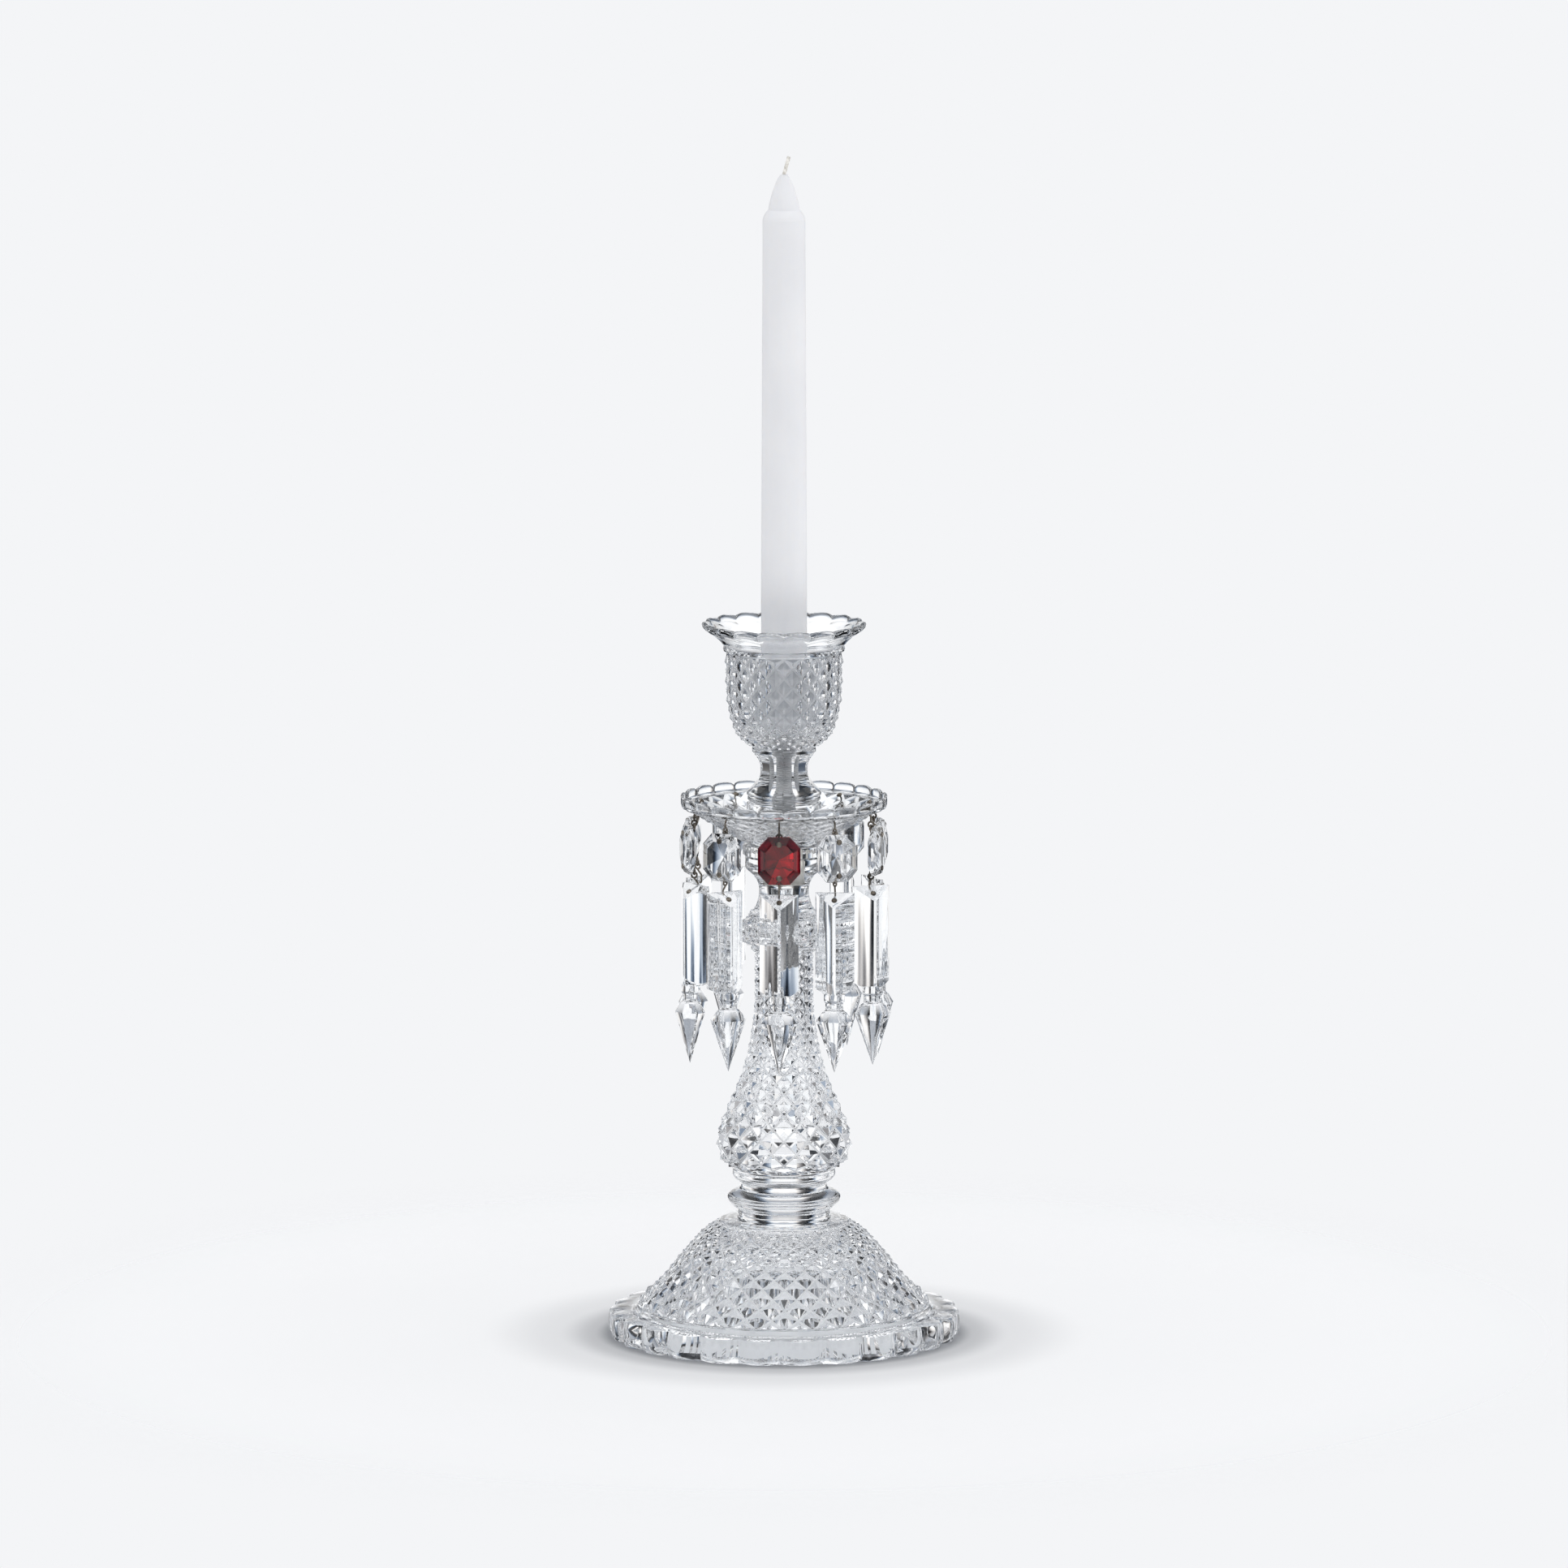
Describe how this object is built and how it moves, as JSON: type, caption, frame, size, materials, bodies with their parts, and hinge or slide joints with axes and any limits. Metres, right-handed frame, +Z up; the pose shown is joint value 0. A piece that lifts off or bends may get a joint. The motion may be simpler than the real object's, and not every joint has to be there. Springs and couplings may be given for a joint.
{
  "type": "glass candlestick",
  "caption": "Cut-crystal candlestick with a scalloped foot, a pan hung with swinging prism drops and a tulip cup holding a taper candle.",
  "frame": {"origin": "centre of the foot's underside, on the surface that the candlestick stands on", "axes": "+Z up along the candlestick's axis; -Y is the front, towards the red octagon"},
  "size_m": [0.17, 0.1694, 0.5712],
  "materials": {
    "crystal": "clear cut lead crystal, polished facets",
    "red_crystal": "ruby red cut crystal, polished facets",
    "wax": "smooth white candle wax, satin",
    "wick": "braided waxed cotton",
    "pin_metal": "nickel-plated brass wire, slightly tarnished",
    "socket_metal": "satin nickel-plated metal",
    "bush_metal": "turned brass",
    "washer": "thin clear plastic"
  },
  "bodies": {
    "stand": {"foot": "crystal", "stem": "crystal", "stem_bush": "bush_metal", "pan_washer_lower": "washer", "pan": "crystal", "pan_washer_upper": "washer", "cup": "crystal", "candle_socket": "socket_metal", "socket_bolt": "socket_metal", "pan_pins": "pin_metal"},
    "candle": {"candle": "wax", "wick": "wick"},
    "octagon_drop_01": {"octagon_01": "red_crystal", "octagon_pins_01": "pin_metal"},
    "prism_drop_01": {"prism_01": "crystal", "prism_pin_01": "pin_metal"},
    "octagon_drop_02": {"octagon_02": "crystal", "octagon_pins_02": "pin_metal"},
    "prism_drop_02": {"prism_02": "crystal", "prism_pin_02": "pin_metal"},
    "octagon_drop_03": {"octagon_03": "crystal", "octagon_pins_03": "pin_metal"},
    "prism_drop_03": {"prism_03": "crystal", "prism_pin_03": "pin_metal"},
    "octagon_drop_04": {"octagon_04": "crystal", "octagon_pins_04": "pin_metal"},
    "prism_drop_04": {"prism_04": "crystal", "prism_pin_04": "pin_metal"},
    "octagon_drop_05": {"octagon_05": "crystal", "octagon_pins_05": "pin_metal"},
    "prism_drop_05": {"prism_05": "crystal", "prism_pin_05": "pin_metal"},
    "octagon_drop_06": {"octagon_06": "crystal", "octagon_pins_06": "pin_metal"},
    "prism_drop_06": {"prism_06": "crystal", "prism_pin_06": "pin_metal"},
    "octagon_drop_07": {"octagon_07": "crystal", "octagon_pins_07": "pin_metal"},
    "prism_drop_07": {"prism_07": "crystal", "prism_pin_07": "pin_metal"},
    "octagon_drop_08": {"octagon_08": "crystal", "octagon_pins_08": "pin_metal"},
    "prism_drop_08": {"prism_08": "crystal", "prism_pin_08": "pin_metal"},
    "octagon_drop_09": {"octagon_09": "crystal", "octagon_pins_09": "pin_metal"},
    "prism_drop_09": {"prism_09": "crystal", "prism_pin_09": "pin_metal"},
    "octagon_drop_10": {"octagon_10": "crystal", "octagon_pins_10": "pin_metal"},
    "prism_drop_10": {"prism_10": "crystal", "prism_pin_10": "pin_metal"}
  },
  "joints": [
    {"name": "candle_lift", "type": "slide", "parent": "stand", "child": "candle", "axis": [0, 0, 1], "range_m": [0, 0.085]},
    {"name": "octagon_swing_01", "type": "hinge", "parent": "stand", "child": "octagon_drop_01", "pos_m": [-0.00233, -0.04454, 0.25085], "axis": [-0.9986, 0.0523, 0], "range_deg": [-6, 40]},
    {"name": "prism_swing_01", "type": "hinge", "parent": "octagon_drop_01", "child": "prism_drop_01", "pos_m": [-0.00233, -0.04454, 0.22625], "axis": [-0.9986, 0.0523, 0], "range_deg": [-4, 30]},
    {"name": "octagon_swing_02", "type": "hinge", "parent": "stand", "child": "octagon_drop_02", "pos_m": [0.02429, -0.03741, 0.25085], "axis": [-0.8387, -0.5446, 0], "range_deg": [-6, 40]},
    {"name": "prism_swing_02", "type": "hinge", "parent": "octagon_drop_02", "child": "prism_drop_02", "pos_m": [0.02429, -0.03741, 0.22625], "axis": [-0.8387, -0.5446, 0], "range_deg": [-4, 30]},
    {"name": "octagon_swing_03", "type": "hinge", "parent": "stand", "child": "octagon_drop_03", "pos_m": [0.04164, -0.01598, 0.25085], "axis": [-0.3584, -0.9336, 0], "range_deg": [-6, 40]},
    {"name": "prism_swing_03", "type": "hinge", "parent": "octagon_drop_03", "child": "prism_drop_03", "pos_m": [0.04164, -0.01598, 0.22625], "axis": [-0.3584, -0.9336, 0], "range_deg": [-4, 30]},
    {"name": "octagon_swing_04", "type": "hinge", "parent": "stand", "child": "octagon_drop_04", "pos_m": [0.04308, 0.01154, 0.25085], "axis": [0.2588, -0.9659, 0], "range_deg": [-6, 40]},
    {"name": "prism_swing_04", "type": "hinge", "parent": "octagon_drop_04", "child": "prism_drop_04", "pos_m": [0.04308, 0.01154, 0.22625], "axis": [0.2588, -0.9659, 0], "range_deg": [-4, 30]},
    {"name": "octagon_swing_05", "type": "hinge", "parent": "stand", "child": "octagon_drop_05", "pos_m": [0.02807, 0.03466, 0.25085], "axis": [0.7771, -0.6293, 0], "range_deg": [-6, 40]},
    {"name": "prism_swing_05", "type": "hinge", "parent": "octagon_drop_05", "child": "prism_drop_05", "pos_m": [0.02807, 0.03466, 0.22625], "axis": [0.7771, -0.6293, 0], "range_deg": [-4, 30]},
    {"name": "octagon_swing_06", "type": "hinge", "parent": "stand", "child": "octagon_drop_06", "pos_m": [0.00233, 0.04454, 0.25085], "axis": [0.9986, -0.0523, 0], "range_deg": [-6, 40]},
    {"name": "prism_swing_06", "type": "hinge", "parent": "octagon_drop_06", "child": "prism_drop_06", "pos_m": [0.00233, 0.04454, 0.22625], "axis": [0.9986, -0.0523, 0], "range_deg": [-4, 30]},
    {"name": "octagon_swing_07", "type": "hinge", "parent": "stand", "child": "octagon_drop_07", "pos_m": [-0.02429, 0.03741, 0.25085], "axis": [0.8387, 0.5446, 0], "range_deg": [-6, 40]},
    {"name": "prism_swing_07", "type": "hinge", "parent": "octagon_drop_07", "child": "prism_drop_07", "pos_m": [-0.02429, 0.03741, 0.22625], "axis": [0.8387, 0.5446, 0], "range_deg": [-4, 30]},
    {"name": "octagon_swing_08", "type": "hinge", "parent": "stand", "child": "octagon_drop_08", "pos_m": [-0.04164, 0.01598, 0.25085], "axis": [0.3584, 0.9336, 0], "range_deg": [-6, 40]},
    {"name": "prism_swing_08", "type": "hinge", "parent": "octagon_drop_08", "child": "prism_drop_08", "pos_m": [-0.04164, 0.01598, 0.22625], "axis": [0.3584, 0.9336, 0], "range_deg": [-4, 30]},
    {"name": "octagon_swing_09", "type": "hinge", "parent": "stand", "child": "octagon_drop_09", "pos_m": [-0.04308, -0.01154, 0.25085], "axis": [-0.2588, 0.9659, 0], "range_deg": [-6, 40]},
    {"name": "prism_swing_09", "type": "hinge", "parent": "octagon_drop_09", "child": "prism_drop_09", "pos_m": [-0.04308, -0.01154, 0.22625], "axis": [-0.2588, 0.9659, 0], "range_deg": [-4, 30]},
    {"name": "octagon_swing_10", "type": "hinge", "parent": "stand", "child": "octagon_drop_10", "pos_m": [-0.02807, -0.03466, 0.25085], "axis": [-0.7771, 0.6293, 0], "range_deg": [-6, 40]},
    {"name": "prism_swing_10", "type": "hinge", "parent": "octagon_drop_10", "child": "prism_drop_10", "pos_m": [-0.02807, -0.03466, 0.22625], "axis": [-0.7771, 0.6293, 0], "range_deg": [-4, 30]}
  ]
}
